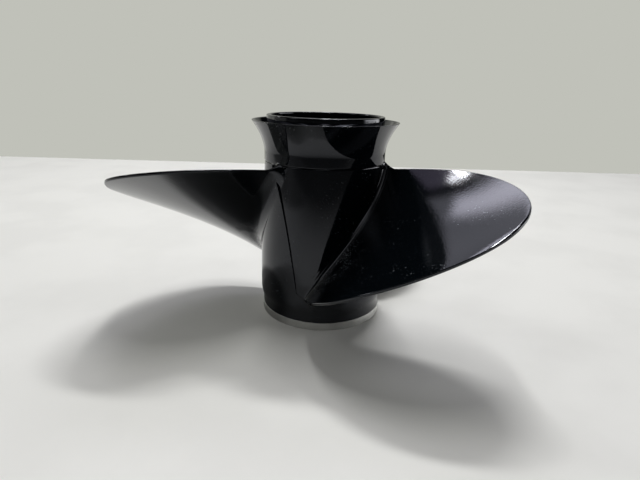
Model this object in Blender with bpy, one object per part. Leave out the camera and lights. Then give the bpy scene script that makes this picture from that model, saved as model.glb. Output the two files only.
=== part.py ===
import math

import bmesh
import bpy
import numpy as np

# Three-bladed outboard motor propeller, standing on its forward rim with its
# flared aft end up. Metres. +Z is the shaft axis and points aft; the origin is
# on that axis, at the height of the centre of mass. Heights named ..._Z are
# measured from the resting rim.

# Overall
ORIGIN_HEIGHT = 0.0805
TOUCHING_GAP = 0.0003
ROUND_SIDES = 72
BLADE_COUNT = 3
BLADE_SPACING = 2 * math.pi / BLADE_COUNT

# Hub barrel
BARREL_RADIUS = 0.0540
FOOT_RADIUS = 0.0521
FOOT_TOP_Z = 0.0125
STEP_TOP_Z = 0.0200
TAPER_START_Z = 0.0480
SHOULDER_Z = 0.1330
SHOULDER_RADIUS = 0.0502
AFT_RADIUS = 0.0486
AFT_TOP_Z = 0.1697
BARREL_WALL = 0.0058
AFT_BORE_RADIUS = 0.0448
RIM_CHAMFER = 0.0006

# Bare machined band at the forward end
RIM_RADIUS = 0.0526
RIM_BORE_RADIUS = 0.0482
RIM_TOP_Z = 0.0066

# Flared ring
FLARE_NECK_RADIUS = 0.0505
FLARE_NECK_TOP_Z = 0.1410
FLARE_LIP_RADIUS = 0.0609
FLARE_LIP_Z = 0.1655
FLARE_WALL = 0.0017
FLARE_CURVE = 1.80
FLARE_STEPS = 6

# Blades: a helicoid of constant pitch, raked aft, with a right-hand twist
TIP_RADIUS = 0.1745
PITCH = 0.4370
BLADE_MIDDLE_Z = 0.0720
ROOT_MIDDLE_ANGLE = math.radians(-64.1)
SKEW = math.radians(19.8)
SKEW_BEND = math.radians(-1.8)
ROOT_HALF_ANGLE = math.radians(47.1)
HALF_ANGLE_TAPER = 0.55
TIP_ROUNDNESS = 3.7
RAKE_RISE = 0.0186
RAKE_BEND = 0.0026
LEADING_TRIM = 0.21
TRIM_SPAN = 0.52
ROOT_THICKNESS = 0.0090
TIP_THICKNESS = 0.0038
EDGE_THICKNESS = 0.0023
FORWARD_FILLET = 0.0085
AFT_FILLET = 0.0040
LEADING_FILLET = 0.0030
GUSSET_RISE = 0.0068
GUSSET_SPAN = 0.0086
CHORD_STEPS = 14
ACROSS_STEPS = (1.0, 0.5, 0.0, -0.5, -1.0)
SPAN_SHARES = (0.0, 0.012, 0.03, 0.055, 0.072, 0.11, 0.2, 0.32, 0.45, 0.58, 0.7, 0.8, 0.88, 0.94, 0.975, 0.993, 0.9985)
SEATING_ROUNDS = 8

# Inner hub, its webs, the rubber bushing and the splined sleeve
INNER_HUB_FORWARD_Z = 0.0140
INNER_HUB_AFT_Z = 0.1200
INNER_HUB_RADIUS = 0.0305
INNER_HUB_AFT_RADIUS = 0.0290
BUSHING_RADIUS = 0.0245
INNER_HUB_MOUTH_RADIUS = 0.0262
INNER_HUB_MOUTH_DEPTH = 0.0080
BUSHING_FORWARD_Z = 0.0240
BUSHING_AFT_Z = 0.1120
BUSHING_EDGE = 0.0020
SLEEVE_RADIUS = 0.0165
SLEEVE_FORWARD_Z = 0.0210
SLEEVE_AFT_Z = 0.1160
SPLINE_TEETH = 13
SPLINE_ROOT_RADIUS = 0.0129
SPLINE_TIP_RADIUS = 0.0113
RIB_THICKNESS = 0.0062
RIB_FORWARD_Z = 0.0190
RIB_AFT_Z = 0.1120
RIB_ANGLES = (math.radians(90), math.radians(210), math.radians(330))


def clear_scene():
    for item in list(bpy.data.objects):
        bpy.data.objects.remove(item, do_unlink=True)


def make_material(name, colour, roughness, metallic, coat=0.0):
    material = bpy.data.materials.new(name)
    material.use_nodes = True
    shader = material.node_tree.nodes["Principled BSDF"]
    shader.inputs["Base Color"].default_value = (*colour, 1.0)
    shader.inputs["Roughness"].default_value = roughness
    shader.inputs["Metallic"].default_value = metallic
    shader.inputs["Coat Weight"].default_value = coat
    return material


def add_object(name, mesh, material):
    item = bpy.data.objects.new(name, mesh)
    bpy.context.scene.collection.objects.link(item)
    mesh.materials.append(material)
    return item


def mesh_from(name, build, sharp_degrees=30.0):
    grid = bmesh.new()
    build(grid)
    bmesh.ops.recalc_face_normals(grid, faces=grid.faces)
    mesh = bpy.data.meshes.new(name)
    grid.to_mesh(mesh)
    grid.free()
    mesh.shade_smooth()
    mesh.set_sharp_from_angle(angle=math.radians(sharp_degrees))
    return mesh


def lift(height):
    # Height above the resting rim to Z in the part's frame
    return height - ORIGIN_HEIGHT


def turned(name, profile, material, sides=ROUND_SIDES):
    # A closed outline of (radius, height) points spun once around the shaft axis
    def build(grid):
        verts = [grid.verts.new((radius, 0.0, lift(height))) for radius, height in profile]
        edges = [grid.edges.new((verts[i], verts[i - 1])) for i in range(len(verts))]
        bmesh.ops.spin(
            grid,
            geom=verts + edges,
            cent=(0.0, 0.0, 0.0),
            axis=(0.0, 0.0, 1.0),
            angle=2 * math.pi,
            steps=sides,
            use_merge=True,
            use_duplicate=False,
        )
        bmesh.ops.remove_doubles(grid, verts=grid.verts, dist=1e-6)

    return add_object(name, mesh_from(name, build), material)


def barrel_outer(height):
    # Outer radius of the barrel at a height, with the flared ring's neck above the shoulder
    points = (
        (RIM_TOP_Z, RIM_RADIUS),
        (FOOT_TOP_Z, FOOT_RADIUS),
        (STEP_TOP_Z, BARREL_RADIUS),
        (TAPER_START_Z, BARREL_RADIUS),
        (SHOULDER_Z, SHOULDER_RADIUS),
        (SHOULDER_Z + TOUCHING_GAP, FLARE_NECK_RADIUS),
    )
    heights, radii = zip(*points)
    return np.interp(height, heights, radii)


def barrel_bore(height):
    # Inner radius of the barrel at a height: parallel, then tapered with the outside
    heights = (0.0, TAPER_START_Z, SHOULDER_Z, AFT_TOP_Z)
    radii = (RIM_BORE_RADIUS, BARREL_RADIUS - BARREL_WALL, AFT_BORE_RADIUS, AFT_BORE_RADIUS)
    return float(np.interp(height, heights, radii))


def make_barrel(material):
    foot_z = RIM_TOP_Z + TOUCHING_GAP
    profile = [
        (FOOT_RADIUS, foot_z),
        (FOOT_RADIUS, FOOT_TOP_Z),
        (BARREL_RADIUS, STEP_TOP_Z),
        (BARREL_RADIUS, TAPER_START_Z),
        (SHOULDER_RADIUS, SHOULDER_Z),
        (AFT_RADIUS, SHOULDER_Z),
        (AFT_RADIUS, AFT_TOP_Z - RIM_CHAMFER),
        (AFT_RADIUS - RIM_CHAMFER, AFT_TOP_Z),
        (AFT_BORE_RADIUS + RIM_CHAMFER, AFT_TOP_Z),
        (AFT_BORE_RADIUS, AFT_TOP_Z - RIM_CHAMFER),
        (AFT_BORE_RADIUS, SHOULDER_Z),
        (BARREL_RADIUS - BARREL_WALL, TAPER_START_Z),
        (barrel_bore(foot_z), foot_z),
    ]
    return turned("barrel", profile, material)


def make_front_rim(material):
    profile = [
        (RIM_RADIUS - RIM_CHAMFER, 0.0),
        (RIM_RADIUS, RIM_CHAMFER),
        (RIM_RADIUS, RIM_TOP_Z),
        (RIM_BORE_RADIUS, RIM_TOP_Z),
        (RIM_BORE_RADIUS, RIM_CHAMFER),
        (RIM_BORE_RADIUS + RIM_CHAMFER, 0.0),
    ]
    return turned("front_rim", profile, material)


def flare_radius(height):
    # Straight neck, then a curve that opens as a power of the height up to the lip
    share = max(0.0, (height - FLARE_NECK_TOP_Z) / (FLARE_LIP_Z - FLARE_NECK_TOP_Z))
    return FLARE_NECK_RADIUS + (FLARE_LIP_RADIUS - FLARE_NECK_RADIUS) * share**FLARE_CURVE


def flare_bore(height):
    # The wall keeps its thickness where the flare leans, and seats on the barrel's aft end
    step = 1e-4
    lean = (flare_radius(height) - flare_radius(height - step)) / step
    inner = flare_radius(height) - FLARE_WALL * math.hypot(1.0, lean)
    return max(AFT_RADIUS + TOUCHING_GAP, inner)


def make_flare_ring(material):
    bottom = SHOULDER_Z + TOUCHING_GAP
    rise = FLARE_LIP_Z - FLARE_NECK_TOP_Z
    heights = [bottom] + [FLARE_NECK_TOP_Z + rise * i / FLARE_STEPS for i in range(FLARE_STEPS + 1)]
    outer = [(flare_radius(height), height) for height in heights]
    inner = [(flare_bore(height), height) for height in reversed(heights)]
    return turned("flare_ring", outer + inner, material)


def blade_station(rho):
    # Middle angle, half angle, middle height and helix rise for each radial share
    inside = np.clip(rho, 0.0, 1.0)
    middle = ROOT_MIDDLE_ANGLE + SKEW * rho + SKEW_BEND * rho**2
    half = ROOT_HALF_ANGLE * (1 - HALF_ANGLE_TAPER * rho) * np.sqrt(1 - inside**TIP_ROUNDNESS)
    rise = PITCH / (2 * math.pi)
    height = BLADE_MIDDLE_Z + RAKE_RISE * rho + RAKE_BEND * rho**2 + rise * (middle - ROOT_MIDDLE_ANGLE)
    return middle, half, height, rise


def blade_thickness(rho, chord):
    # Full thickness at a share of the chord from -1 (leading) to 1 (trailing)
    thickest = TIP_THICKNESS + (ROOT_THICKNESS - TIP_THICKNESS) * np.clip(1 - rho, 0, 1) ** 1.3
    return EDGE_THICKNESS + (thickest - EDGE_THICKNESS) * (1 - chord**2)


def blade_points(rho, chord, across):
    # Points of the blade as angle, height and radius. chord runs from -1 at the
    # leading edge to 1 at the trailing edge, and across from 1 on the aft face
    # to -1 on the forward face.
    radius = BARREL_RADIUS + (TIP_RADIUS - BARREL_RADIUS) * rho
    middle, half, height, rise = blade_station(rho)
    trim = LEADING_TRIM * np.clip(1 - rho / TRIM_SPAN, 0, 1)
    length = half * np.hypot(radius, rise)
    nose = EDGE_THICKNESS / 2
    along = (length - nose) * (chord + trim * (1 - chord) / 2)
    slope = np.arctan2(rise, radius)
    # The fillet swells the faces and the leading edge towards the barrel, as a quarter
    # circle, larger on the forward face, and a flat-topped gusset runs from the trailing
    # edge down to the barrel
    z = height + along * np.sin(slope)
    gap = radius - barrel_outer(z)
    fillet = FORWARD_FILLET + (AFT_FILLET - FORWARD_FILLET) * (across + 1) / 2
    swell = 1 - np.sqrt(1 - (1 - np.clip(gap / fillet, 0, 1)) ** 2)
    gusset = GUSSET_RISE * (1 - np.clip(gap / GUSSET_SPAN, 0, 1))
    normal = across * (fillet * swell + blade_thickness(rho, chord) / 2)
    at_end = np.where(np.abs(chord) > 0.999, np.sign(chord), 0.0)
    reach = np.where(chord > 0, gusset, LEADING_FILLET * swell)
    along = along + at_end * (nose + reach) * np.sqrt(1 - across**2)
    angle = middle + (along * np.cos(slope) - normal * np.sin(slope)) / radius
    z = height + along * np.sin(slope) + normal * np.cos(slope)
    return angle, z, radius


def seated_points(rho, chord, across):
    # The same points, with the radial share counted from the barrel's own surface
    share = np.full(len(chord), rho)
    for _ in range(SEATING_ROUNDS):
        angle, z, radius = blade_points(share, chord, across)
        base = (barrel_outer(z) + TOUCHING_GAP - BARREL_RADIUS) / (TIP_RADIUS - BARREL_RADIUS)
        share = base + (1 - base) * rho
    return np.stack([radius * np.cos(angle), radius * np.sin(angle), lift(z)], axis=1)


def chord_stations():
    # Even steps drawn towards the two edges
    even = np.linspace(-1, 1, CHORD_STEPS + 1)
    return (even + np.sin(even * math.pi / 2)) / 2


def blade_section(rho):
    # Rows of points from the aft face to the forward face, all at one radial share
    stations = chord_stations()
    return [seated_points(rho, stations, np.full(len(stations), across)) for across in ACROSS_STEPS]


def section_outline(rows):
    # Around a section: aft face, trailing edge, forward face, leading edge
    trailing = [row[-1] for row in rows[1:-1]]
    leading = [row[0] for row in rows[-2:0:-1]]
    return list(rows[0]) + trailing + list(rows[-1][::-1]) + leading


def fill_section(grid, rows, outline):
    # Close an end of the blade with quads, sharing the outline's vertices
    width = len(rows[0])
    inner = len(rows) - 2
    table = [outline[:width]]
    for step in range(inner):
        leading = outline[len(outline) - 1 - step]
        trailing = outline[width + step]
        middle = [grid.verts.new(point) for point in rows[step + 1][1:-1]]
        table.append([leading] + middle + [trailing])
    table.append(outline[width + inner : 2 * width + inner][::-1])
    for upper, lower in zip(table, table[1:]):
        for i in range(width - 1):
            grid.faces.new((upper[i], upper[i + 1], lower[i + 1], lower[i]))


def make_blade(index, sections, material):
    name = f"blade_{index + 1}"

    def build(grid):
        loops = [[grid.verts.new(point) for point in section_outline(rows)] for rows in sections]
        count = len(loops[0])
        for lower, upper in zip(loops, loops[1:]):
            for i in range(count):
                j = (i + 1) % count
                grid.faces.new((lower[i], lower[j], upper[j], upper[i]))
        fill_section(grid, sections[0], loops[0])
        fill_section(grid, sections[-1], loops[-1])
        bmesh.ops.triangulate(grid, faces=grid.faces)

    item = add_object(name, mesh_from(name, build), material)
    item.rotation_euler = (0.0, 0.0, index * BLADE_SPACING)
    return item


def make_inner_hub(material):
    profile = [
        (INNER_HUB_RADIUS, INNER_HUB_FORWARD_Z),
        (INNER_HUB_RADIUS, RIB_FORWARD_Z),
        (INNER_HUB_AFT_RADIUS, INNER_HUB_AFT_Z),
        (BUSHING_RADIUS + TOUCHING_GAP, INNER_HUB_AFT_Z),
        (BUSHING_RADIUS + TOUCHING_GAP, INNER_HUB_FORWARD_Z + INNER_HUB_MOUTH_DEPTH),
        (INNER_HUB_MOUTH_RADIUS, INNER_HUB_FORWARD_Z),
    ]
    return turned("inner_hub", profile, material, sides=48)


def inner_hub_outer(height):
    heights = (INNER_HUB_FORWARD_Z, RIB_FORWARD_Z, INNER_HUB_AFT_Z)
    radii = (INNER_HUB_RADIUS, INNER_HUB_RADIUS, INNER_HUB_AFT_RADIUS)
    return float(np.interp(height, heights, radii))


def make_rib(index, angle, material):
    # A web from the inner hub to the barrel, sloped at both ends to follow their tapers
    name = f"rib_{index + 1}"
    half = RIB_THICKNESS / 2
    heights = (RIB_FORWARD_Z, TAPER_START_Z, RIB_AFT_Z)

    def build(grid):
        levels = []
        for height in heights:
            inner = inner_hub_outer(height) + TOUCHING_GAP
            outer = math.sqrt((barrel_bore(height) - TOUCHING_GAP) ** 2 - half**2)
            corners = ((inner, -half), (outer, -half), (outer, half), (inner, half))
            levels.append([grid.verts.new((x, y, lift(height))) for x, y in corners])
        for lower, upper in zip(levels, levels[1:]):
            for i in range(4):
                j = (i + 1) % 4
                grid.faces.new((lower[i], lower[j], upper[j], upper[i]))
        grid.faces.new(levels[0])
        grid.faces.new(levels[-1])

    item = add_object(name, mesh_from(name, build), material)
    item.rotation_euler = (0.0, 0.0, angle)
    return item


def make_bushing(material):
    bore = SLEEVE_RADIUS + TOUCHING_GAP
    profile = [
        (BUSHING_RADIUS - BUSHING_EDGE, BUSHING_FORWARD_Z),
        (BUSHING_RADIUS, BUSHING_FORWARD_Z + BUSHING_EDGE),
        (BUSHING_RADIUS, BUSHING_AFT_Z - BUSHING_EDGE),
        (BUSHING_RADIUS - BUSHING_EDGE, BUSHING_AFT_Z),
        (bore, BUSHING_AFT_Z),
        (bore, BUSHING_FORWARD_Z),
    ]
    return turned("rubber_bushing", profile, material, sides=48)


def spline_outline():
    # Four points a tooth: two on the groove's floor and two on the tooth's top
    points = []
    for tooth in range(SPLINE_TEETH):
        start = 2 * math.pi * tooth / SPLINE_TEETH
        pitch = 2 * math.pi / SPLINE_TEETH
        for share, radius in (
            (0.00, SPLINE_ROOT_RADIUS),
            (0.46, SPLINE_ROOT_RADIUS),
            (0.58, SPLINE_TIP_RADIUS),
            (0.88, SPLINE_TIP_RADIUS),
        ):
            angle = start + share * pitch
            points.append((radius * math.cos(angle), radius * math.sin(angle)))
    return points


def make_sleeve(material):
    bore = spline_outline()
    outer = []
    for x, y in bore:
        angle = math.atan2(y, x)
        outer.append((SLEEVE_RADIUS * math.cos(angle), SLEEVE_RADIUS * math.sin(angle)))

    def build(grid):
        rows = []
        for outline in (outer, bore):
            for height in (SLEEVE_FORWARD_Z, SLEEVE_AFT_Z):
                rows.append([grid.verts.new((x, y, lift(height))) for x, y in outline])
        outer_low, outer_high, bore_low, bore_high = rows
        count = len(bore)
        for first, second in (
            (outer_low, outer_high),
            (outer_high, bore_high),
            (bore_high, bore_low),
            (bore_low, outer_low),
        ):
            for i in range(count):
                j = (i + 1) % count
                grid.faces.new((first[i], first[j], second[j], second[i]))

    return add_object("splined_sleeve", mesh_from("splined_sleeve", build), material)


def main():
    clear_scene()
    black_paint = make_material("black gloss paint", (0.012, 0.012, 0.014), 0.16, 0.0, 0.6)
    bare_aluminium = make_material("bare aluminium", (0.42, 0.42, 0.40), 0.38, 1.0)
    rubber = make_material("black rubber", (0.02, 0.02, 0.02), 0.75, 0.0)
    bronze = make_material("bronze", (0.47, 0.33, 0.16), 0.35, 1.0)
    make_barrel(black_paint)
    make_front_rim(bare_aluminium)
    sections = [blade_section(rho) for rho in SPAN_SHARES]
    for index in range(BLADE_COUNT):
        make_blade(index, sections, black_paint)
    make_flare_ring(black_paint)
    make_inner_hub(black_paint)
    for index, angle in enumerate(RIB_ANGLES):
        make_rib(index, angle, black_paint)
    make_bushing(rubber)
    make_sleeve(bronze)


main()
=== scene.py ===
import math

import bpy
import numpy as np
from mathutils import Matrix, Vector


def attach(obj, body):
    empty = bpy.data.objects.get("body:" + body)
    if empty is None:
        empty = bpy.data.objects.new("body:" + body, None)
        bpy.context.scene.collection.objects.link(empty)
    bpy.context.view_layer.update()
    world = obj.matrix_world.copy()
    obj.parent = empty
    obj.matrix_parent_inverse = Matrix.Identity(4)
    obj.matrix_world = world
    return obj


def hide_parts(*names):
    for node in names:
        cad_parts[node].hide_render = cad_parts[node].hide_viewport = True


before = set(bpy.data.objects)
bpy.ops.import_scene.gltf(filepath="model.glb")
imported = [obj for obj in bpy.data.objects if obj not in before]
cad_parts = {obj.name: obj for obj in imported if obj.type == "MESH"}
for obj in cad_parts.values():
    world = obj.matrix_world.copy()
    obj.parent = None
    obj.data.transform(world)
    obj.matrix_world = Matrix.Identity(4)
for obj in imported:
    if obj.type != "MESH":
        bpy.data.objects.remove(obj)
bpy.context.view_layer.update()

# An outboard motor propeller with three blades, standing on its forward rim.
# Metres. Heights are counted from the resting rim; lift() turns them into Z.

overall = {
    "originHeight": 0.0805,
    "bladeCount": 3,
    "pointSpacing": 0.0025,
    "cornerSteps": 6,
    "supportGap": 0.0003,  # keeps the shading of a straight run flat beside a rounded corner
}


def lift(height):
    return height - overall["originHeight"]


# Helpers for meshes


def meshFromGrid(name, points, loopRows=False, capEnds=False):
    # Each point is joined to its neighbours in the next row and the next column.
    # Columns always close on themselves; rows close too, or each end gets a fan of triangles.
    rows, columns = points.shape[:2]
    verts = points.reshape(-1, 3)
    row = np.arange(rows if loopRows else rows - 1)[:, None]
    column = np.arange(columns)[None, :]
    nextRow, nextColumn = (row + 1) % rows, (column + 1) % columns
    corners = (
        row * columns + column,
        row * columns + nextColumn,
        nextRow * columns + nextColumn,
        nextRow * columns + column,
    )
    quads = np.stack(corners, axis=-1).reshape(-1, 4)
    triangles = np.zeros((0, 3), dtype=int)
    if capEnds:
        around, after = np.arange(columns), (np.arange(columns) + 1) % columns
        middle = np.full(columns, rows * columns)
        last = (rows - 1) * columns
        first = np.stack([middle, after, around], axis=1)
        final = np.stack([middle + 1, last + around, last + after], axis=1)
        triangles = np.concatenate([first, final])
        verts = np.concatenate([verts, points[[0, -1]].mean(axis=1)])
    # The signed volume is positive when the faces look outward
    halves = np.concatenate([quads[:, [0, 1, 2]], quads[:, [0, 2, 3]], triangles])
    a, b, c = verts[halves[:, 0]], verts[halves[:, 1]], verts[halves[:, 2]]
    if np.einsum("ij,ij->i", a, np.cross(b, c)).sum() < 0:
        quads, triangles = quads[:, ::-1], triangles[:, ::-1]
    mesh = bpy.data.meshes.new(name)
    mesh.from_pydata(verts.tolist(), [], quads.tolist() + triangles.tolist())
    mesh.shade_smooth()
    item = bpy.data.objects.new(name, mesh)
    bpy.context.scene.collection.objects.link(item)
    return item


def roundedOutline(corners):
    # corners is a closed outline of (radius, height, rounding). A corner with rounding
    # becomes the curve (1-t)(1-t)A + 2t(1-t)C + ttB, where C is the corner and A and B lie
    # the rounding away along its two sides. Straight runs between curves get spaced points.
    corners = np.array(corners)
    places, rounding = corners[:, :2], corners[:, 2:]
    toBefore = np.roll(places, 1, axis=0) - places
    toAfter = np.roll(places, -1, axis=0) - places
    starts = places + toBefore / np.linalg.norm(toBefore, axis=1, keepdims=True) * rounding
    ends = places + toAfter / np.linalg.norm(toAfter, axis=1, keepdims=True) * rounding
    t = np.linspace(0, 1, overall["cornerSteps"] + 1)[:, None]
    outline = []
    for index, place in enumerate(places):
        curve = (1 - t) ** 2 * starts[index] + 2 * t * (1 - t) * place + t**2 * ends[index]
        outline.append(curve if rounding[index, 0] > 0 else place[None])
        run = starts[(index + 1) % len(places)] - ends[index]
        length = np.linalg.norm(run)
        share = np.linspace(0, 1, int(length / overall["pointSpacing"]) + 2)[1:-1]
        if length > 4 * overall["supportGap"]:
            support = overall["supportGap"] / length
            share = np.concatenate([[support], share, [1 - support]])
        outline.append(ends[index] + run * np.sort(share)[:, None])
    return np.concatenate(outline)


def turnedPoints(outline, sides):
    # Rows turn round the shaft axis: x = radius cos(angle), y = radius sin(angle), z = height
    angle = np.linspace(0, 2 * math.pi, sides, endpoint=False)[:, None]
    radius, height = outline[:, 0][None, :], outline[:, 1][None, :]
    z = np.broadcast_to(lift(height), (sides, len(outline)))
    return np.stack([radius * np.cos(angle), radius * np.sin(angle), z], axis=-1)


def turned(points, angle):
    # The same points turned round the shaft axis
    x, y, z = points[..., 0], points[..., 1], points[..., 2]
    cosine, sine = math.cos(angle), math.sin(angle)
    return np.stack([x * cosine - y * sine, x * sine + y * cosine, z], axis=-1)


def finishPiece(item, material, slot, *nodes):
    # nodes are the solids' nodes that the piece stands for
    item.data.materials.append(material)
    if nodes:
        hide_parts(*nodes)
    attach(item, "root")


# Helpers for materials


def linearColour(text):
    # sRGB hex to linear: c / 12.92 below 0.04045, else ((c + 0.055) / 1.055) to the power 2.4
    parts = np.array([int(text[i : i + 2], 16) for i in (1, 3, 5)]) / 255
    linear = np.where(parts <= 0.04045, parts / 12.92, ((parts + 0.055) / 1.055) ** 2.4)
    return (*[float(part) for part in linear], 1.0)


def addNode(tree, kind, inputs=None, output=0, **settings):
    # inputs gives each socket its value, or the other node's output that feeds it.
    # One output of the new node comes back.
    node = tree.nodes.new(kind)
    for name, value in settings.items():
        setattr(node, name, value)
    for socket, value in (inputs or {}).items():
        if isinstance(value, bpy.types.NodeSocket):
            tree.links.new(value, node.inputs[socket])
        else:
            node.inputs[socket].default_value = value
    return node.outputs[output]


def newMaterial(name):
    material = bpy.data.materials.new(name)
    material.use_nodes = True
    tree = material.node_tree
    return material, tree, tree.nodes["Principled BSDF"]


paintLook = {
    "colour": "#05080b",
    "dust": "#6c7074",
    "tint": "#f2f5ff",
    "ior": 1.5,
    "peelRelief": 0.00004,
    "castRelief": 0.0003,
    "noises": {  # size in metres and detail
        "peel": (0.0014, 2.0),
        "castSkin": (0.0010, 2.0),  # sand grain is finer, and is drawn as coarse as it shows
        "castPatch": (0.014, 2.0),
        "grain": (0.0009, 1.0),
        "speck": (0.0013, 2.0),
        "dustPatch": (0.022, 3.0),
        "cloud": (0.030, 4.0),
    },
    "steps": {  # smooth steps: where each starts and ends, and its values before and after
        "castStart": (0.0545, 0.0575, 0.0, 1.0),  # by distance from the shaft's axis
        "castEnd": (0.094, 0.064, 0.0, 1.0),
        "peelReach": (0.060, 0.090, 0.25, 1.0),  # a quarter of the ripple on the hub
        "castTop": (0.005, -0.015, 0.0, 1.0),  # by height
        "castPatch": (0.32, 0.52, 0.0, 1.0),
        "grain": (0.60, 0.67, 0.0, 1.0),
        "speck": (0.64, 0.78, 0.0, 1.0),
        "dustPatch": (0.48, 0.68, 0.08, 1.0),
        "cloud": (0.35, 0.65, 0.045, 0.085),  # its values are the roughness
    },
}


def makeBlackPaint():
    # Black gloss enamel over cast aluminium: a clear dielectric surface with a fine ripple
    # (orange peel). The rough cast skin shows through it in patches low on the blade roots,
    # and holds grains of dust. Faint clouds of handling marks change the gloss, and there
    # are a few dust specks.
    look = paintLook
    material, tree, shader = newMaterial("blackGlossPaint")
    place = addNode(tree, "ShaderNodeTexCoord", output="Object")
    level = addNode(
        tree, "ShaderNodeVectorMath", {0: place, 1: (1.0, 1.0, 0.0)}, operation="MULTIPLY"
    )
    distance = addNode(tree, "ShaderNodeVectorMath", {0: level}, "Value", operation="LENGTH")
    height = addNode(tree, "ShaderNodeSeparateXYZ", {"Vector": place}, "Z")
    noise = {}
    for name, (size, detail) in look["noises"].items():
        inputs = {"Vector": place, "Scale": 1 / size, "Detail": detail}
        noise[name] = addNode(tree, "ShaderNodeTexNoise", inputs, "Fac")
    sources = noise | dict.fromkeys(("castStart", "castEnd", "peelReach"), distance)
    sources["castTop"] = height
    step = {}
    for name, (start, end, before, after) in look["steps"].items():
        inputs = {"Value": sources[name], "From Min": start, "From Max": end}
        inputs |= {"To Min": before, "To Max": after}
        step[name] = addNode(
            tree, "ShaderNodeMapRange", inputs, "Result", interpolation_type="SMOOTHSTEP"
        )
    rough = step["castStart"]
    for name in ("castEnd", "castTop", "castPatch"):
        rough = addNode(tree, "ShaderNodeMath", {0: rough, 1: step[name]}, operation="MULTIPLY")
    flecks, grains = (
        addNode(tree, "ShaderNodeMath", {0: first, 1: second}, operation="MULTIPLY")
        for first, second in ((step["speck"], step["dustPatch"]), (step["grain"], rough))
    )
    dusty = addNode(tree, "ShaderNodeMath", {0: flecks, 1: grains}, operation="MAXIMUM")
    colours = {0: dusty, 6: linearColour(look["colour"]), 7: linearColour(look["dust"])}
    colour = addNode(tree, "ShaderNodeMix", colours, 2, data_type="RGBA")
    ripple = addNode(
        tree,
        "ShaderNodeBump",
        {"Strength": step["peelReach"], "Distance": look["peelRelief"], "Height": noise["peel"]},
    )
    castSkin = {"Strength": rough, "Distance": look["castRelief"], "Height": noise["castSkin"]}
    cast = addNode(tree, "ShaderNodeBump", castSkin | {"Normal": ripple})
    shader.inputs["IOR"].default_value = look["ior"]
    shader.inputs["Specular Tint"].default_value = linearColour(look["tint"])
    tree.links.new(colour, shader.inputs["Base Color"])
    tree.links.new(step["cloud"], shader.inputs["Roughness"])
    tree.links.new(cast, shader.inputs["Normal"])
    return material


aluminiumLook = {
    "colour": "#e2e2df",
    "shade": "#bcbdba",
    "roughness": (0.36, 0.52),
    "patches": (0.3, 0.7),  # the part of the noise over which the roughness changes
    "patchNoise": (1 / 90, 4.0),  # size in metres and detail
    "lineNoise": (0.00045, 3.0),  # a tool's marks are finer, and are drawn as coarse as they show
    "lineSqueeze": (0.03, 0.03, 1.0),
    "lineRelief": 0.000012,
}


def makeBareAluminium():
    # Cast aluminium skimmed on a lathe: bright metal with fine turned lines round the axis
    look = aluminiumLook
    material, tree, shader = newMaterial("turnedAluminium")
    place = addNode(tree, "ShaderNodeTexCoord", output="Object")
    squeezed = addNode(
        tree, "ShaderNodeMapping", {"Vector": place, "Scale": look["lineSqueeze"]}, vector_type="POINT"
    )
    lines, patches = (
        addNode(
            tree, "ShaderNodeTexNoise", {"Vector": where, "Scale": 1 / size, "Detail": detail}, "Fac"
        )
        for where, (size, detail) in ((squeezed, look["lineNoise"]), (place, look["patchNoise"]))
    )
    colours = {0: patches, 6: linearColour(look["shade"]), 7: linearColour(look["colour"])}
    colour = addNode(tree, "ShaderNodeMix", colours, 2, data_type="RGBA")
    (start, end), (low, high) = look["patches"], look["roughness"]
    inputs = {"Value": patches, "From Min": start, "From Max": end, "To Min": low, "To Max": high}
    roughness = addNode(tree, "ShaderNodeMapRange", inputs, "Result")
    bump = addNode(
        tree, "ShaderNodeBump", {"Strength": 1.0, "Distance": look["lineRelief"], "Height": lines}
    )
    shader.inputs["Metallic"].default_value = 1.0
    tree.links.new(colour, shader.inputs["Base Color"])
    tree.links.new(roughness, shader.inputs["Roughness"])
    tree.links.new(bump, shader.inputs["Normal"])
    return material


rubberLook = {
    "colour": "#141414",
    "roughness": 0.72,
    "grainNoise": (0.0007, 2.0),  # size in metres and detail, as coarse as it needs to show
    "grainRelief": 0.00002,
}


def makeBlackRubber():
    # Moulded black rubber: matt, with a fine grain
    look = rubberLook
    material, tree, shader = newMaterial("mouldedRubber")
    place = addNode(tree, "ShaderNodeTexCoord", output="Object")
    size, detail = look["grainNoise"]
    inputs = {"Vector": place, "Scale": 1 / size, "Detail": detail}
    grain = addNode(tree, "ShaderNodeTexNoise", inputs, "Fac")
    bump = addNode(
        tree, "ShaderNodeBump", {"Strength": 1.0, "Distance": look["grainRelief"], "Height": grain}
    )
    shader.inputs["Base Color"].default_value = linearColour(look["colour"])
    shader.inputs["Roughness"].default_value = look["roughness"]
    tree.links.new(bump, shader.inputs["Normal"])
    return material


bronzeLook = {
    "bright": "#ab8a5e",
    "dull": "#77603f",
    "roughness": (0.30, 0.48),
    "patches": (0.3, 0.7),  # the part of the noise over which the roughness changes
    "patchNoise": (0.006, 4.0),  # size in metres and detail
}


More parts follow.
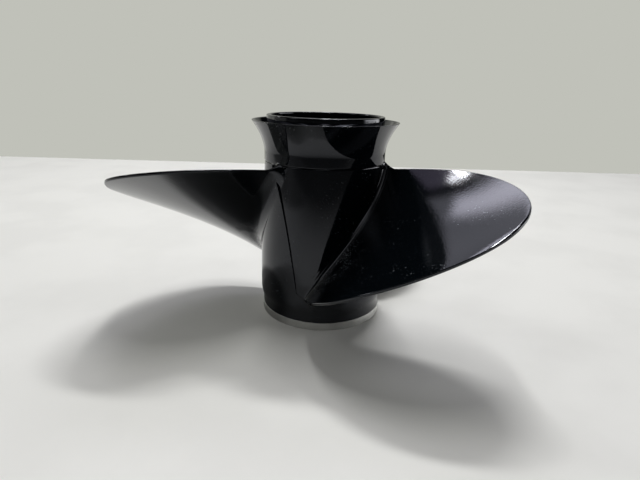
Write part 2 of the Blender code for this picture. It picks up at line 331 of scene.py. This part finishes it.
def makeBronze():
    # Machined bronze, bright where it was cut and duller in patches
    look = bronzeLook
    material, tree, shader = newMaterial("machinedBronze")
    place = addNode(tree, "ShaderNodeTexCoord", output="Object")
    size, detail = look["patchNoise"]
    inputs = {"Vector": place, "Scale": 1 / size, "Detail": detail}
    patches = addNode(tree, "ShaderNodeTexNoise", inputs, "Fac")
    colours = {0: patches, 6: linearColour(look["dull"]), 7: linearColour(look["bright"])}
    colour = addNode(tree, "ShaderNodeMix", colours, 2, data_type="RGBA")
    (start, end), (low, high) = look["patches"], look["roughness"]
    inputs = {"Value": patches, "From Min": start, "From Max": end, "To Min": high, "To Max": low}
    roughness = addNode(tree, "ShaderNodeMapRange", inputs, "Result")
    shader.inputs["Metallic"].default_value = 1.0
    tree.links.new(colour, shader.inputs["Base Color"])
    tree.links.new(roughness, shader.inputs["Roughness"])
    return material


blackPaint = makeBlackPaint()
bareAluminium = makeBareAluminium()
blackRubber = makeBlackRubber()
bronze = makeBronze()
print("materials made")

# Hub barrel and the bare band it stands on
barrel = {
    "sides": 256,
    "radius": 0.0540,
    "footRadius": 0.0521,
    "footTop": 0.0125,
    "stepTop": 0.0200,
    "taperStart": 0.0480,
    "shoulder": 0.1330,
    "shoulderRadius": 0.0502,
    "aftRadius": 0.0486,
    "aftBoreRadius": 0.0448,
    "aftTop": 0.1697,
    "wall": 0.0058,
    "footEdge": 0.0002,
    "stepRounding": 0.0030,
    "taperRounding": 0.0120,
    "shoulderEdge": 0.0007,
    "neckEdge": 0.0003,
    "aftEdge": 0.0011,
    "boreRounding": 0.0080,
}

band = {
    "sides": 256,
    "radius": 0.0526,
    "boreRadius": 0.0482,
    "top": 0.0066,
    "edge": 0.0007,
}


def makeBarrel():
    # One wall, turned: stepped foot, parallel body, taper, shoulder, aft ring and bore
    b = barrel
    bore = b["radius"] - b["wall"]
    outline = roundedOutline(
        [
            (b["footRadius"], band["top"], b["footEdge"]),
            (b["footRadius"], b["footTop"], b["stepRounding"]),
            (b["radius"], b["stepTop"], b["stepRounding"]),
            (b["radius"], b["taperStart"], b["taperRounding"]),
            (b["shoulderRadius"], b["shoulder"], b["shoulderEdge"]),
            (b["aftRadius"], b["shoulder"], b["neckEdge"]),
            (b["aftRadius"], b["aftTop"], b["aftEdge"]),
            (b["aftBoreRadius"], b["aftTop"], b["aftEdge"]),
            (b["aftBoreRadius"], b["shoulder"], b["boreRounding"]),
            (bore, b["taperStart"], b["boreRounding"]),
            (band["boreRadius"], band["top"], b["footEdge"]),
        ]
    )
    item = meshFromGrid("hubBarrel", turnedPoints(outline, b["sides"]), loopRows=True)
    finishPiece(item, blackPaint, "black_paint", "barrel")


def makeBareBand():
    # A flat band, turned, with its edges broken
    b = band
    outline = roundedOutline(
        [
            (b["radius"], 0.0, b["edge"]),
            (b["radius"], b["top"], b["edge"] / 2),
            (b["boreRadius"], b["top"], 0.0),
            (b["boreRadius"], 0.0, b["edge"]),
        ]
    )
    item = meshFromGrid("bareBand", turnedPoints(outline, b["sides"]), loopRows=True)
    finishPiece(item, bareAluminium, "bare_aluminium", "front_rim")


makeBarrel()
makeBareBand()
print("barrel and bare band made")

# Flared ring round the aft end
flare = {
    "sides": 256,
    "neckRadius": 0.0505,
    "neckTop": 0.1410,
    "lipRadius": 0.0608,
    "lip": 0.1655,
    "wall": 0.0017,
    "curve": 1.80,
    "steps": 28,
    "gap": 0.0003,
    "outerEdges": (0.0005, 0.0007),  # roundings at the foot and at the lip
    "innerEdges": (0.0002, 0.0007),
}


def flareRadius(height):
    # Straight neck, then neck + (lip - neck) * share to the power curve
    f = flare
    share = np.clip((height - f["neckTop"]) / (f["lip"] - f["neckTop"]), 0, 1)
    return f["neckRadius"] + (f["lipRadius"] - f["neckRadius"]) * share ** f["curve"]


def makeFlareRing():
    # The inner wall lies the wall's thickness inside the outer one, measured square to it,
    # and no nearer to the barrel's neck than the gap
    f = flare
    foot = barrel["shoulder"] + f["gap"]
    rise = (f["lip"] - f["neckTop"]) * np.linspace(0, 1, f["steps"] + 1)
    heights = np.concatenate([[foot], f["neckTop"] + rise])
    radii = flareRadius(heights)
    lean = np.gradient(radii, heights)
    innerRadii = np.maximum(barrel["aftRadius"] + f["gap"], radii - f["wall"] * np.hypot(1, lean))
    outerRounding, innerRounding = np.zeros(len(heights)), np.zeros(len(heights))
    outerRounding[[0, -1]], innerRounding[[0, -1]] = f["outerEdges"], f["innerEdges"]
    outer = np.stack([radii, heights, outerRounding], axis=1)
    inner = np.stack([innerRadii, heights, innerRounding], axis=1)[::-1]
    outline = roundedOutline(np.concatenate([outer, inner]))
    item = meshFromGrid("flareRing", turnedPoints(outline, f["sides"]), loopRows=True)
    finishPiece(item, blackPaint, "black_paint", "flare_ring")


makeFlareRing()
print("flared ring made")

# Blades
blade = {
    "tipRadius": 0.1740,
    "pitch": 0.4370,
    "middle": 0.0720,
    "rootAngle": math.radians(-64.1),
    "skew": math.radians(19.8),
    "skewBend": math.radians(-1.8),
    "halfAngle": math.radians(47.1),
    "halfTaper": 0.55,
    "tipRoundness": 3.7,
    "rake": 0.0186,
    "rakeBend": 0.0026,
    "leadingTrim": 0.21,
    "trimSpan": 0.52,
    "rootThickness": 0.0090,
    "tipThickness": 0.0038,
    "edgeThickness": 0.0023,
    "thicknessPower": 1.3,
    "forwardFillet": 0.0110,
    "aftFillet": 0.0040,
    "leadingFillet": 0.0030,
    "skirt": 0.0040,  # how far the fillets run on below the hub's surface
    "skirtRows": (1.0, 0.6, 0.3, 0.12),
    "gussetRise": 0.0068,
    "gussetSpan": 0.0086,
    "sink": 0.0002,
    "tipRounding": 0.0018,
    "faceSteps": 96,
    "edgeSteps": 10,
    "filletSteps": 18,
    "spanSteps": 84,
    "seatingRounds": 8,
}


def barrelOuter(height):
    # Outer radius of the hub at a height
    b = barrel
    heights = (b["footTop"], b["stepTop"], b["taperStart"], b["shoulder"], b["shoulder"] + flare["gap"])
    radii = (b["footRadius"], b["radius"], b["radius"], b["shoulderRadius"], flare["neckRadius"])
    return np.interp(height, heights, radii)


def bladePoints(share, chord, across, gap, swell):
    # A helicoid of constant pitch: the height along the helix is rise * angle, plus the rake.
    # share runs from the hub to the tip, chord from -1 at the leading edge to 1 at the
    # trailing edge, and across from 1 on the aft face to -1 on the forward face. The half
    # angle shrinks as (1 - taper * share) * root(1 - share to the power roundness), and the
    # thickness as edge + (middle - edge) * (1 - chord squared). swell widens it to the
    # fillet, and gap is the distance from the hub's surface.
    b = blade
    radius = barrel["radius"] + (b["tipRadius"] - barrel["radius"]) * share
    rise = b["pitch"] / (2 * math.pi)
    turn = b["skew"] * share + b["skewBend"] * share**2
    height = b["middle"] + b["rake"] * share + b["rakeBend"] * share**2 + rise * turn
    rounding = np.sqrt(1 - np.clip(share, 0, 1) ** b["tipRoundness"])
    length = b["halfAngle"] * (1 - b["halfTaper"] * share) * rounding * np.hypot(radius, rise)
    toTip = np.clip((b["tipRadius"] - radius) / b["tipRounding"], 0, 1)
    slim = np.sqrt(1 - (1 - toTip) ** 2)
    inward = np.clip(1 - share, 0, 1) ** b["thicknessPower"]
    thickest = b["tipThickness"] + (b["rootThickness"] - b["tipThickness"]) * inward
    thickness = b["edgeThickness"] + (thickest - b["edgeThickness"]) * (1 - chord**2)
    nose = b["edgeThickness"] / 2 * slim
    trim = b["leadingTrim"] * np.clip(1 - share / b["trimSpan"], 0, 1)
    along = (length - nose) * (chord + trim * (1 - chord) / 2)
    slope = np.arctan2(rise, radius)
    gusset = b["gussetRise"] * (1 - np.clip(gap / b["gussetSpan"], 0, 1))
    reach = np.where(chord > 0, gusset, b["leadingFillet"] * swell)
    atEnd = np.where(np.abs(chord) > 0.9999, np.sign(chord), 0.0)
    along = along + atEnd * (nose + reach) * np.sqrt(1 - across**2)
    normal = across * (filletSize(across) * swell + thickness * slim / 2)
    angle = b["rootAngle"] + turn + (along * np.cos(slope) - normal * np.sin(slope)) / radius
    return angle, height + along * np.sin(slope) + normal * np.cos(slope), radius


def filletSize(across):
    # The fillet's size goes from the forward face's to the aft face's
    b = blade
    return b["forwardFillet"] + (b["aftFillet"] - b["forwardFillet"]) * (across + 1) / 2


def bladeGrid():
    # Each row is a closed section: aft face, trailing edge, forward face, leading edge.
    # The first rows lie under the hub's surface, by sink * row squared, and spread out by
    # skirt * row. The next ones turn through the quarter-circle fillet:
    # gap = fillet * (1 - cos), swell = 1 - sin. The rest close up towards the tip. The hub
    # is found at each point's own height by repeating.
    b = blade
    face = np.sin(np.linspace(-math.pi / 2, math.pi / 2, b["faceSteps"] + 1))
    edge = np.sin(np.linspace(math.pi / 2, -math.pi / 2, b["edgeSteps"] + 1))[1:-1]
    ones = np.ones(len(edge))
    chord = np.concatenate([face, ones, face[::-1], -ones])[None, :]
    faceOnes = np.ones(len(face))
    across = np.concatenate([faceOnes, edge, -faceOnes, edge[::-1]])[None, :]
    fillet = filletSize(across)
    turn = math.pi / 2 * np.linspace(0, 1, b["filletSteps"] + 1)[:, None] ** 1.5
    under = np.array(b["skirtRows"])[:, None]
    outward = 1 - (1 - np.linspace(0, 1, b["spanSteps"] + 1)[1:-1, None]) ** 2
    level = np.ones_like(outward)
    sunk = -b["sink"] * under**2 + 0 * fillet
    rise = np.concatenate([sunk, fillet * (1 - np.cos(turn)), fillet * level])
    spread = 1 + b["skirt"] * under / fillet
    swell = np.concatenate([spread, (1 - np.sin(turn)) + 0 * fillet, 0 * fillet * level])
    toTip = np.concatenate([np.zeros((len(under) + len(turn), 1)), outward])
    hub = barrel["radius"] + 0 * rise
    for _ in range(b["seatingRounds"]):
        radius = hub + rise + (b["tipRadius"] - hub - rise) * toTip
        share = (radius - barrel["radius"]) / (b["tipRadius"] - barrel["radius"])
        angle, height, radius = bladePoints(share, chord, across, radius - hub, swell)
        hub = barrelOuter(height)
    return np.stack([radius * np.cos(angle), radius * np.sin(angle), lift(height)], axis=-1)


def makeBlades():
    grid = bladeGrid()
    for index in range(overall["bladeCount"]):
        points = turned(grid, index * 2 * math.pi / overall["bladeCount"])
        item = meshFromGrid(f"blade{index + 1}", points, capEnds=True)
        finishPiece(item, blackPaint, "black_paint", f"blade_{index + 1}")


makeBlades()
print("blades made")

# Bead along the edge of each blade's aft fillet
filletBead = {"radius": 0.0005, "sink": 0.00030, "aroundSteps": 12, "reach": (3, 93)}


def makeFilletBeads():
    # A thin round bead where the aft fillet runs out into the blade. Each ring of it is
    # centre + radius * (cos(turn) * outward + sin(turn) * sideways), square to its path.
    # The path follows the blade's last fillet row along the aft face, sunk a little into it.
    b = filletBead
    grid = bladeGrid()
    row, (first, last) = len(blade["skirtRows"]) + blade["filletSteps"], b["reach"]
    path = grid[row, first:last]
    along = np.gradient(path, axis=0)
    along /= np.linalg.norm(along, axis=1, keepdims=True)
    outward = np.cross(grid[row + 1, first:last] - grid[row - 1, first:last], along)
    outward /= np.linalg.norm(outward, axis=1, keepdims=True)
    outward *= np.sign(outward[:, 2:])
    sideways = np.cross(along, outward)
    turn = np.linspace(0, 2 * math.pi, b["aroundSteps"], endpoint=False)[None, :, None]
    centre = path - b["sink"] * outward
    ring = np.cos(turn) * outward[:, None] + np.sin(turn) * sideways[:, None]
    points = centre[:, None] + b["radius"] * ring
    for index in range(overall["bladeCount"]):
        place = turned(points, index * 2 * math.pi / overall["bladeCount"])
        item = meshFromGrid(f"filletBead{index + 1}", place, capEnds=True)
        finishPiece(item, blackPaint, "black_paint")


makeFilletBeads()
print("fillet beads made")

# Parting lines of the casting
parting = {
    "top": 0.1328,
    "bottom": 0.0276,
    "bendStart": 0.0330,
    "bend": 0.26,  # degrees per mm squared below the bend's start
    "angles": (-108.88, -0.0393, -0.001417),  # degrees: constant, per mm, per mm squared
    "leftFlank": 0.0004,
    "rightFlank": 0.0013,
    "topWidening": 1.8,
    "topLift": 2.2,
    "wideningSpan": 0.0450,
    "height": 0.00085,
    "depth": 0.0002,
    "rootDepth": 0.0006,
    "fadeSpan": 0.010,
    "fadedTo": 0.15,
    "steps": 120,
    "peakRounding": 0.25,
    "flankSteps": 10,
    "wave": 0.00012,
    "waves": ((900, 0), (2300, 1)),  # radians per metre of height, and where each starts
}


def makePartingLines():
    # A low ridge run down the barrel, steep on one side, with its foot sunk in the hub.
    # Its angle is a + b h + c h squared, with h the height in millimetres, plus a bend
    # towards the blade's foot. Across it, the height falls from the peak as
    # peak * (1 - distance / flank width), rounded at the top. It fades in at the bottom,
    # grows wider and higher towards the top, and wavers by a product of two sines.
    p = parting
    height = np.linspace(p["bottom"], p["top"], p["steps"])[:, None]
    a, b, c = p["angles"]
    bend = p["bend"] * (np.clip(p["bendStart"] - height, 0, 1) * 1000) ** 2
    middle = np.radians(a + b * height * 1000 + c * (height * 1000) ** 2 + bend)
    upper = np.clip((height - p["top"] + p["wideningSpan"]) / p["wideningSpan"], 0, 1)
    fade = np.clip((height - p["bottom"]) / p["fadeSpan"], p["fadedTo"], 1)
    growth = fade * (1 + p["topWidening"] * upper**2)
    side = np.linspace(-1, 1, 2 * p["flankSteps"] + 1)[None, :]
    flank = np.where(side < 0, p["leftFlank"], p["rightFlank"])
    rounded = np.sqrt(side**2 + p["peakRounding"] ** 2) - p["peakRounding"]
    drop = rounded / (math.hypot(1, p["peakRounding"]) - p["peakRounding"])
    wave = p["wave"] * np.prod([np.sin(height * rate + start) for rate, start in p["waves"]], axis=0)
    across = (side * flank - p["rightFlank"] / 2) * growth + wave
    peak = p["height"] * fade * (1 + p["topLift"] * upper**2)
    over = (peak + p["depth"]) * (1 - drop) - p["depth"]
    under = np.broadcast_to(-p["rootDepth"], over.shape)[:, 1:-1]
    rise = np.concatenate([over, under], axis=1)
    across = np.concatenate([across, across[:, -2:0:-1]], axis=1)
    radius = barrelOuter(height) + rise
    angle = middle + across / barrelOuter(height)
    z = np.broadcast_to(lift(height), radius.shape)
    points = np.stack([radius * np.cos(angle), radius * np.sin(angle), z], axis=-1)
    for index in range(overall["bladeCount"]):
        place = turned(points, index * 2 * math.pi / overall["bladeCount"])
        item = meshFromGrid(f"partingLine{index + 1}", place, capEnds=True)
        finishPiece(item, blackPaint, "black_paint")


makePartingLines()
print("parting lines made")

# Inner hub and ribs
innerHub = {
    "sides": 160,
    "forward": 0.0140,
    "aft": 0.1200,
    "radius": 0.0305,
    "aftRadius": 0.0290,
    "ribForward": 0.0190,
    "boreRadius": 0.0246,
    "mouthRadius": 0.0262,
    "mouthDepth": 0.0080,
    "edge": 0.0012,
    "waistRounding": 0.0020,
    "boreRounding": 0.0010,
    "mouthEdge": 0.0008,
}

rib = {
    "thickness": 0.0062,
    "forward": 0.0190,
    "aft": 0.1120,
    "angles": (90, 210, 330),
    "fillet": 0.0040,
    "sink": 0.0006,
    "endPower": 0.35,
    "sidePower": 0.6,
    "aroundSteps": 72,
    "spanSteps": 32,
}


def makeInnerHub():
    # One tube, turned: it narrows a little from the ribs' forward end to its aft end, and
    # its bore opens out towards the forward mouth
    h = innerHub
    outline = roundedOutline(
        [
            (h["radius"], h["forward"], h["edge"]),
            (h["radius"], h["ribForward"], h["waistRounding"]),
            (h["aftRadius"], h["aft"], h["edge"]),
            (h["boreRadius"], h["aft"], h["edge"]),
            (h["boreRadius"], h["forward"] + h["mouthDepth"], h["boreRounding"]),
            (h["mouthRadius"], h["forward"], h["mouthEdge"]),
        ]
    )
    item = meshFromGrid("innerHub", turnedPoints(outline, h["sides"]), loopRows=True)
    finishPiece(item, blackPaint, "black_paint", "inner_hub")


def makeRibs():
    # Rows run from the inner hub to the barrel. Each is a long rounded slot shape:
    # height = middle + reach * cos(turn) to the end power, and side = half thickness *
    # sin(turn) to the side power, both with the sign kept. The half thickness swells by a
    # quarter-circle fillet towards both walls.
    r, h = rib, innerHub
    turn = np.linspace(0, 2 * math.pi, r["aroundSteps"], endpoint=False)[None, :]
    along = np.linspace(0, 1, r["spanSteps"])[:, None]
    along = (1 - np.cos(math.pi * along)) / 2
    middle, reach = (r["forward"] + r["aft"]) / 2, (r["aft"] - r["forward"]) / 2
    upward = np.cos(turn)
    height = middle + reach * np.sign(upward) * np.abs(upward) ** r["endPower"]
    inner = np.interp(height, (h["ribForward"], h["aft"]), (h["radius"], h["aftRadius"])) - r["sink"]
    taper = (barrel["taperStart"], barrel["shoulder"])
    bore = (barrel["radius"] - barrel["wall"], barrel["aftBoreRadius"])
    outer = np.interp(height, taper, bore) + r["sink"]
    radius = inner + (outer - inner) * along
    nearWall = np.clip(np.minimum(radius - inner, outer - radius) / r["fillet"], 0, 1)
    swell = r["fillet"] * (1 - np.sqrt(1 - (1 - nearWall) ** 2))
    shape = np.sign(np.sin(turn)) * np.abs(np.sin(turn)) ** r["sidePower"]
    side = (r["thickness"] / 2 + swell) * shape
    points = np.stack([radius, side, np.broadcast_to(lift(height), side.shape)], axis=-1)
    for index, angle in enumerate(r["angles"]):
        item = meshFromGrid(f"rib{index + 1}", turned(points, math.radians(angle)), capEnds=True)
        finishPiece(item, blackPaint, "black_paint", f"rib_{index + 1}")


makeInnerHub()
makeRibs()
print("inner hub and ribs made")

# Rubber bushing and splined sleeve
bushing = {
    "sides": 128,
    "radius": 0.0245,
    "bore": 0.0167,
    "forward": 0.0240,
    "aft": 0.1120,
    "edge": 0.0020,
    "boreEdge": 0.0008,
}

sleeve = {
    "radius": 0.0165,
    "forward": 0.0210,
    "aft": 0.1160,
    "teeth": 13,
    "rootRadius": 0.0129,
    "toothHeight": 0.0016,
    "toothCentre": 0.73,
    "toothSharpness": 3.0,
    "stepsPerTooth": 28,
    "boreHold": 8,
    "edge": 0.0005,
}


def makeBushing():
    # A plain thick ring, turned
    b = bushing
    outline = roundedOutline(
        [
            (b["radius"], b["forward"], b["edge"]),
            (b["radius"], b["aft"], b["edge"]),
            (b["bore"], b["aft"], b["boreEdge"]),
            (b["bore"], b["forward"], b["boreEdge"]),
        ]
    )
    item = meshFromGrid("rubberBushing", turnedPoints(outline, b["sides"]), loopRows=True)
    finishPiece(item, blackRubber, "black_rubber", "rubber_bushing")


def makeSleeve():
    # A turned tube whose bore is drawn in by
    # toothHeight * (1 + tanh(k cos(n angle - start)) / tanh k) / 2, with n teeth of
    # sharpness k. Across the end faces the teeth fade with the depth to the power boreHold.
    s = sleeve
    outline = roundedOutline(
        [
            (s["radius"], s["forward"], s["edge"]),
            (s["radius"], s["aft"], s["edge"]),
            (s["rootRadius"], s["aft"], s["edge"]),
            (s["rootRadius"], s["forward"], s["edge"]),
        ]
    )
    sides = s["teeth"] * s["stepsPerTooth"]
    points = turnedPoints(outline, sides)
    angle = np.linspace(0, 2 * math.pi, sides, endpoint=False)[:, None]
    wave = np.cos(s["teeth"] * angle - 2 * math.pi * s["toothCentre"])
    tooth = (1 + np.tanh(s["toothSharpness"] * wave) / math.tanh(s["toothSharpness"])) / 2
    atBore = np.clip((s["radius"] - outline[:, 0]) / (s["radius"] - s["rootRadius"]), 0, 1)
    radius = outline[:, 0][None, :] - s["toothHeight"] * tooth * atBore[None, :] ** s["boreHold"]
    points[..., 0], points[..., 1] = radius * np.cos(angle), radius * np.sin(angle)
    item = meshFromGrid("splinedSleeve", points, loopRows=True)
    finishPiece(item, bronze, "bronze", "splined_sleeve")


makeBushing()
makeSleeve()
print("bushing and sleeve made")

# Table, surround, lamps and camera
table = {
    "left": -2.4,
    "right": 2.4,
    "front": -2.6,
    "back": 0.80,
    "colour": "#efefea",
    "grime": "#eaeae5",
    "roughness": 0.55,
    "cloudNoise": (1 / 9, 5.0),  # size in metres and detail
    "shadeFacing": (0.81, 0.58, 0.0),
    # centre of the painted shadow under the left blade
    "paintedShadowCentre": (-0.085, 0.005, -0.0805),
    "steps": {  # smooth steps: where each starts and ends, and its values before and after
        "clean": (0.35, 0.6, 0.0, 1.0),
        # painted shade: darker towards the viewer's side, seen only by reflections and bounced light
        "paintedShadeTowardsViewer": (-0.85, -0.15, 0.12, 1.0),
        # painted shade past a slanted line on the left front, seen only by reflections and bounced
        # light
        "inside": (-0.68, -0.54, 0.25, 1.0),
        # painted shadow round a point under the left blade, seen only by reflections and bounced light
        "paintedShadowUnderBlade": (0.055, 0.085, 0.2, 1.0),
    },
}


def makeTable():
    # A pale painted top, faintly cloudy. Reflections and bounced light see painted shade on it: it
    # darkens towards the viewer's side and past a slanted line on the left, and a painted shadow lies
    # under the left blade.
    t = table
    z = lift(0.0)
    corners = [(t["left"], t["front"], z), (t["right"], t["front"], z)]
    corners += [(t["right"], t["back"], z), (t["left"], t["back"], z)]
    mesh = bpy.data.meshes.new("tableTop")
    mesh.from_pydata(corners, [], [(0, 1, 2, 3)])
    item = bpy.data.objects.new("tableTop", mesh)
    bpy.context.scene.collection.objects.link(item)
    material, tree, shader = newMaterial("paleTablePaint")
    place = addNode(tree, "ShaderNodeTexCoord", output="Object")
    size, detail = t["cloudNoise"]
    inputs = {"Vector": place, "Scale": 1 / size, "Detail": detail}
    sources = {
        "clean": addNode(tree, "ShaderNodeTexNoise", inputs, "Fac"),
        "paintedShadeTowardsViewer": addNode(tree, "ShaderNodeSeparateXYZ", {"Vector": place}, "Y"),
    }
    for name, key, operation in (
        ("inside", "shadeFacing", "DOT_PRODUCT"),
        ("paintedShadowUnderBlade", "paintedShadowCentre", "DISTANCE"),
    ):
        inputs = {0: place, 1: t[key]}
        sources[name] = addNode(tree, "ShaderNodeVectorMath", inputs, "Value", operation=operation)
    step = {}
    for name, (start, end, before, after) in t["steps"].items():
        inputs = {"Value": sources[name], "From Min": start, "From Max": end}
        inputs |= {"To Min": before, "To Max": after}
        step[name] = addNode(
            tree, "ShaderNodeMapRange", inputs, "Result", interpolation_type="SMOOTHSTEP"
        )
    colours = {0: step["clean"], 6: linearColour(t["grime"]), 7: linearColour(t["colour"])}
    colour = addNode(tree, "ShaderNodeMix", colours, 2, data_type="RGBA")
    # The camera sees the plain colour; everything else sees the painted shade and the painted shadow
    seen = addNode(tree, "ShaderNodeLightPath", output="Is Camera Ray")
    shown = step["paintedShadeTowardsViewer"]
    for other, operation in (
        (step["inside"], "MINIMUM"),
        (step["paintedShadowUnderBlade"], "MINIMUM"),
        (seen, "MAXIMUM"),
    ):
        shown = addNode(tree, "ShaderNodeMath", {0: shown, 1: other}, operation=operation)
    faded = addNode(tree, "ShaderNodeVectorMath", {0: colour, "Scale": shown}, operation="SCALE")
    tree.links.new(faded, shader.inputs["Base Color"])
    shader.inputs["Roughness"].default_value = t["roughness"]
    item.data.materials.append(material)


# Each light of the surround: azimuth, half width, low and high elevation, softness of its
# edges, colour and strength. Azimuth 0 is the camera's side, -Y, and 90 is +X; degrees.
surround = {
    "backdrop": "#c0c1b9",
    "lights": {
        "backWall": (180, 25, -20, 30, 5.0, "#c0c1b9", 0.6),
        "leftWall": (-138, 22, -20, 30, 5.0, "#c0c1b9", 1.15),
        "leftCorner": (-100, 20, -20, 20, 5.0, "#c0c1b9", 0.8),
        "backHigh": (-170, 35, 30, 54.6, 2.5, "#c8c8d2", 1.45),
        "glow": (-178, 16, 45.5, 52.5, 2.5, "#f4f2ff", 3.9),
        "ceiling": (-170, 50, 59.0, 76, 2.5, "#a79fb4", 1.4),
        "lampGlare": (-165, 5, 58.8, 61.1, 1.0, "#ffffff", 19.0),
        "leftWindow": (-66, 7, 12, 62, 3.0, "#ffffff", 1.1),
        "doorway": (100, 20, -20, 20, 5.0, "#ffffff", 4.0),
        "frontWindow": (-5, 16, 34, 52, 4.0, "#ffffff", 0.9),
        "frontCeiling": (0, 90, 50, 72, 5.0, "#ffffff", 0.20),
    },
    "leaning": {  # these are cut off on their left by a slanted edge facing this way
        "backHigh": (0.914, -0.064, 0.400),
        "glow": (0.914, -0.064, 0.400),
        "ceiling": (0.953, 0.146, 0.264),
    },
    "leanSoftness": 0.022,
}


def windowShape(tree, level, z, azimuth, halfWidth, low, high, soft):
    # A soft-edged window of the surround: smooth steps in the sine of the elevation, times
    # a smooth step in the cosine of the azimuth from its middle
    turn = math.radians(azimuth)
    inputs = {0: level, 1: (math.sin(turn), -math.cos(turn), 0.0)}
    near = addNode(tree, "ShaderNodeVectorMath", inputs, "Value", operation="DOT_PRODUCT")
    edges = np.sin(np.radians([low - soft, low + soft, high + soft, high - soft]))
    sides = np.cos(np.radians([halfWidth + soft, halfWidth - soft]))
    steps = []
    for source, start, end in ((z, *edges[:2]), (z, *edges[2:]), (near, *sides)):
        inputs = {"Value": source, "From Min": start, "From Max": end}
        steps.append(
            addNode(tree, "ShaderNodeMapRange", inputs, "Result", interpolation_type="SMOOTHSTEP")
        )
    upright = addNode(tree, "ShaderNodeMath", {0: steps[0], 1: steps[1]}, operation="MULTIPLY")
    return addNode(tree, "ShaderNodeMath", {0: upright, 1: steps[2]}, operation="MULTIPLY")


def makeSurround():
    # The camera sees a plain pale wall. Everything else sees a room of soft windows.
    s = surround
    world = bpy.data.worlds.new("softRoom")
    bpy.context.scene.world = world
    world.use_nodes = True
    tree = world.node_tree
    way = addNode(tree, "ShaderNodeTexCoord", output="Generated")
    z = addNode(tree, "ShaderNodeSeparateXYZ", {"Vector": way}, "Z")
    flat = addNode(tree, "ShaderNodeVectorMath", {0: way, 1: (1.0, 1.0, 0.0)}, operation="MULTIPLY")
    level = addNode(tree, "ShaderNodeVectorMath", {0: flat}, operation="NORMALIZE")
    room = None
    for name, (*place, colour, strength) in s["lights"].items():
        shape = windowShape(tree, level, z, *place)
        if name in s["leaning"]:
            inputs = {0: way, 1: s["leaning"][name]}
            edge = addNode(tree, "ShaderNodeVectorMath", inputs, "Value", operation="DOT_PRODUCT")
            soft = s["leanSoftness"]
            inputs = {"Value": edge, "From Min": -soft, "From Max": soft}
            uncut = addNode(
                tree, "ShaderNodeMapRange", inputs, "Result", interpolation_type="SMOOTHSTEP"
            )
            shape = addNode(tree, "ShaderNodeMath", {0: shape, 1: uncut}, operation="MULTIPLY")
        light = tuple(strength * part for part in linearColour(colour)[:3])
        lit = addNode(tree, "ShaderNodeVectorMath", {0: light, "Scale": shape}, operation="SCALE")
        if room is not None:
            lit = addNode(tree, "ShaderNodeVectorMath", {0: room, 1: lit}, operation="ADD")
        room = lit
    seen = addNode(tree, "ShaderNodeLightPath", output="Is Camera Ray")
    colours = {0: seen, 6: room, 7: linearColour(s["backdrop"])}
    shown = addNode(tree, "ShaderNodeMix", colours, 2, data_type="RGBA")
    tree.links.new(shown, tree.nodes["Background"].inputs["Color"])


# Each ceiling lamp: how far right and back of the object it hangs, its width and depth,
# and its power in watts.
lamps = {
    "height": 1.80,
    "colour": "#ffffff",
    "each": {
        "backTube": (0.18, 0.84, 0.60, 0.12, 16.5),
        "topTube": (0.0, 0.28, 0.12, 0.75, 8.7),
        "frontLamp": (0.0, -0.65, 0.50, 0.50, 0.5),
        "leftLamp": (-2.4, 1.20, 0.40, 0.40, 8.5),
    },
}


def makeLamps():
    # Ceiling lamps aimed at the object. Those above and behind cast the layered shadows.
    for name, (side, back, width, depth, power) in lamps["each"].items():
        data = bpy.data.lights.new(name, "AREA")
        data.shape = "RECTANGLE"
        data.size = width
        data.size_y = depth
        data.energy = power
        data.color = linearColour(lamps["colour"])[:3]
        item = bpy.data.objects.new(name, data)
        item.location = (side, back, lamps["height"])
        item.rotation_euler = (-Vector(item.location)).to_track_quat("-Z", "Y").to_euler()
        bpy.context.scene.collection.objects.link(item)


photoView = {
    "place": (0.0, -0.398, 0.1117),
    "yaw": math.radians(-0.299),
    "pitch": math.radians(18.173),
    "roll": math.radians(1.554),
    "lens": 26.39,
    "sensor": 36.0,
    "clip": (0.01, 20.0),
}


def makeCamera():
    # Looks along yaw and pitch, then rolls: right = cos(roll) r + sin(roll) u, and
    # up = cos(roll) u - sin(roll) r, with r level and u square to it and to the view
    v = photoView
    yaw, pitch, roll = v["yaw"], v["pitch"], v["roll"]
    forward = Vector(
        (math.sin(yaw) * math.cos(pitch), math.cos(yaw) * math.cos(pitch), -math.sin(pitch))
    )
    level = Vector((math.cos(yaw), -math.sin(yaw), 0.0))
    upright = level.cross(forward)
    right = level * math.cos(roll) + upright * math.sin(roll)
    up = upright * math.cos(roll) - level * math.sin(roll)
    data = bpy.data.cameras.new("photoCamera")
    data.lens = v["lens"]
    data.sensor_width = v["sensor"]
    data.clip_start, data.clip_end = v["clip"]
    item = bpy.data.objects.new("photoCamera", data)
    turn = Matrix((right, up, -forward)).transposed()
    item.matrix_world = Matrix.Translation(Vector(v["place"])) @ turn.to_4x4()
    bpy.context.scene.collection.objects.link(item)
    bpy.context.scene.camera = item


makeTable()
makeSurround()
makeLamps()
makeCamera()
bpy.context.scene.view_settings.view_transform = "Standard"
print("table, surround, lamps and camera made")
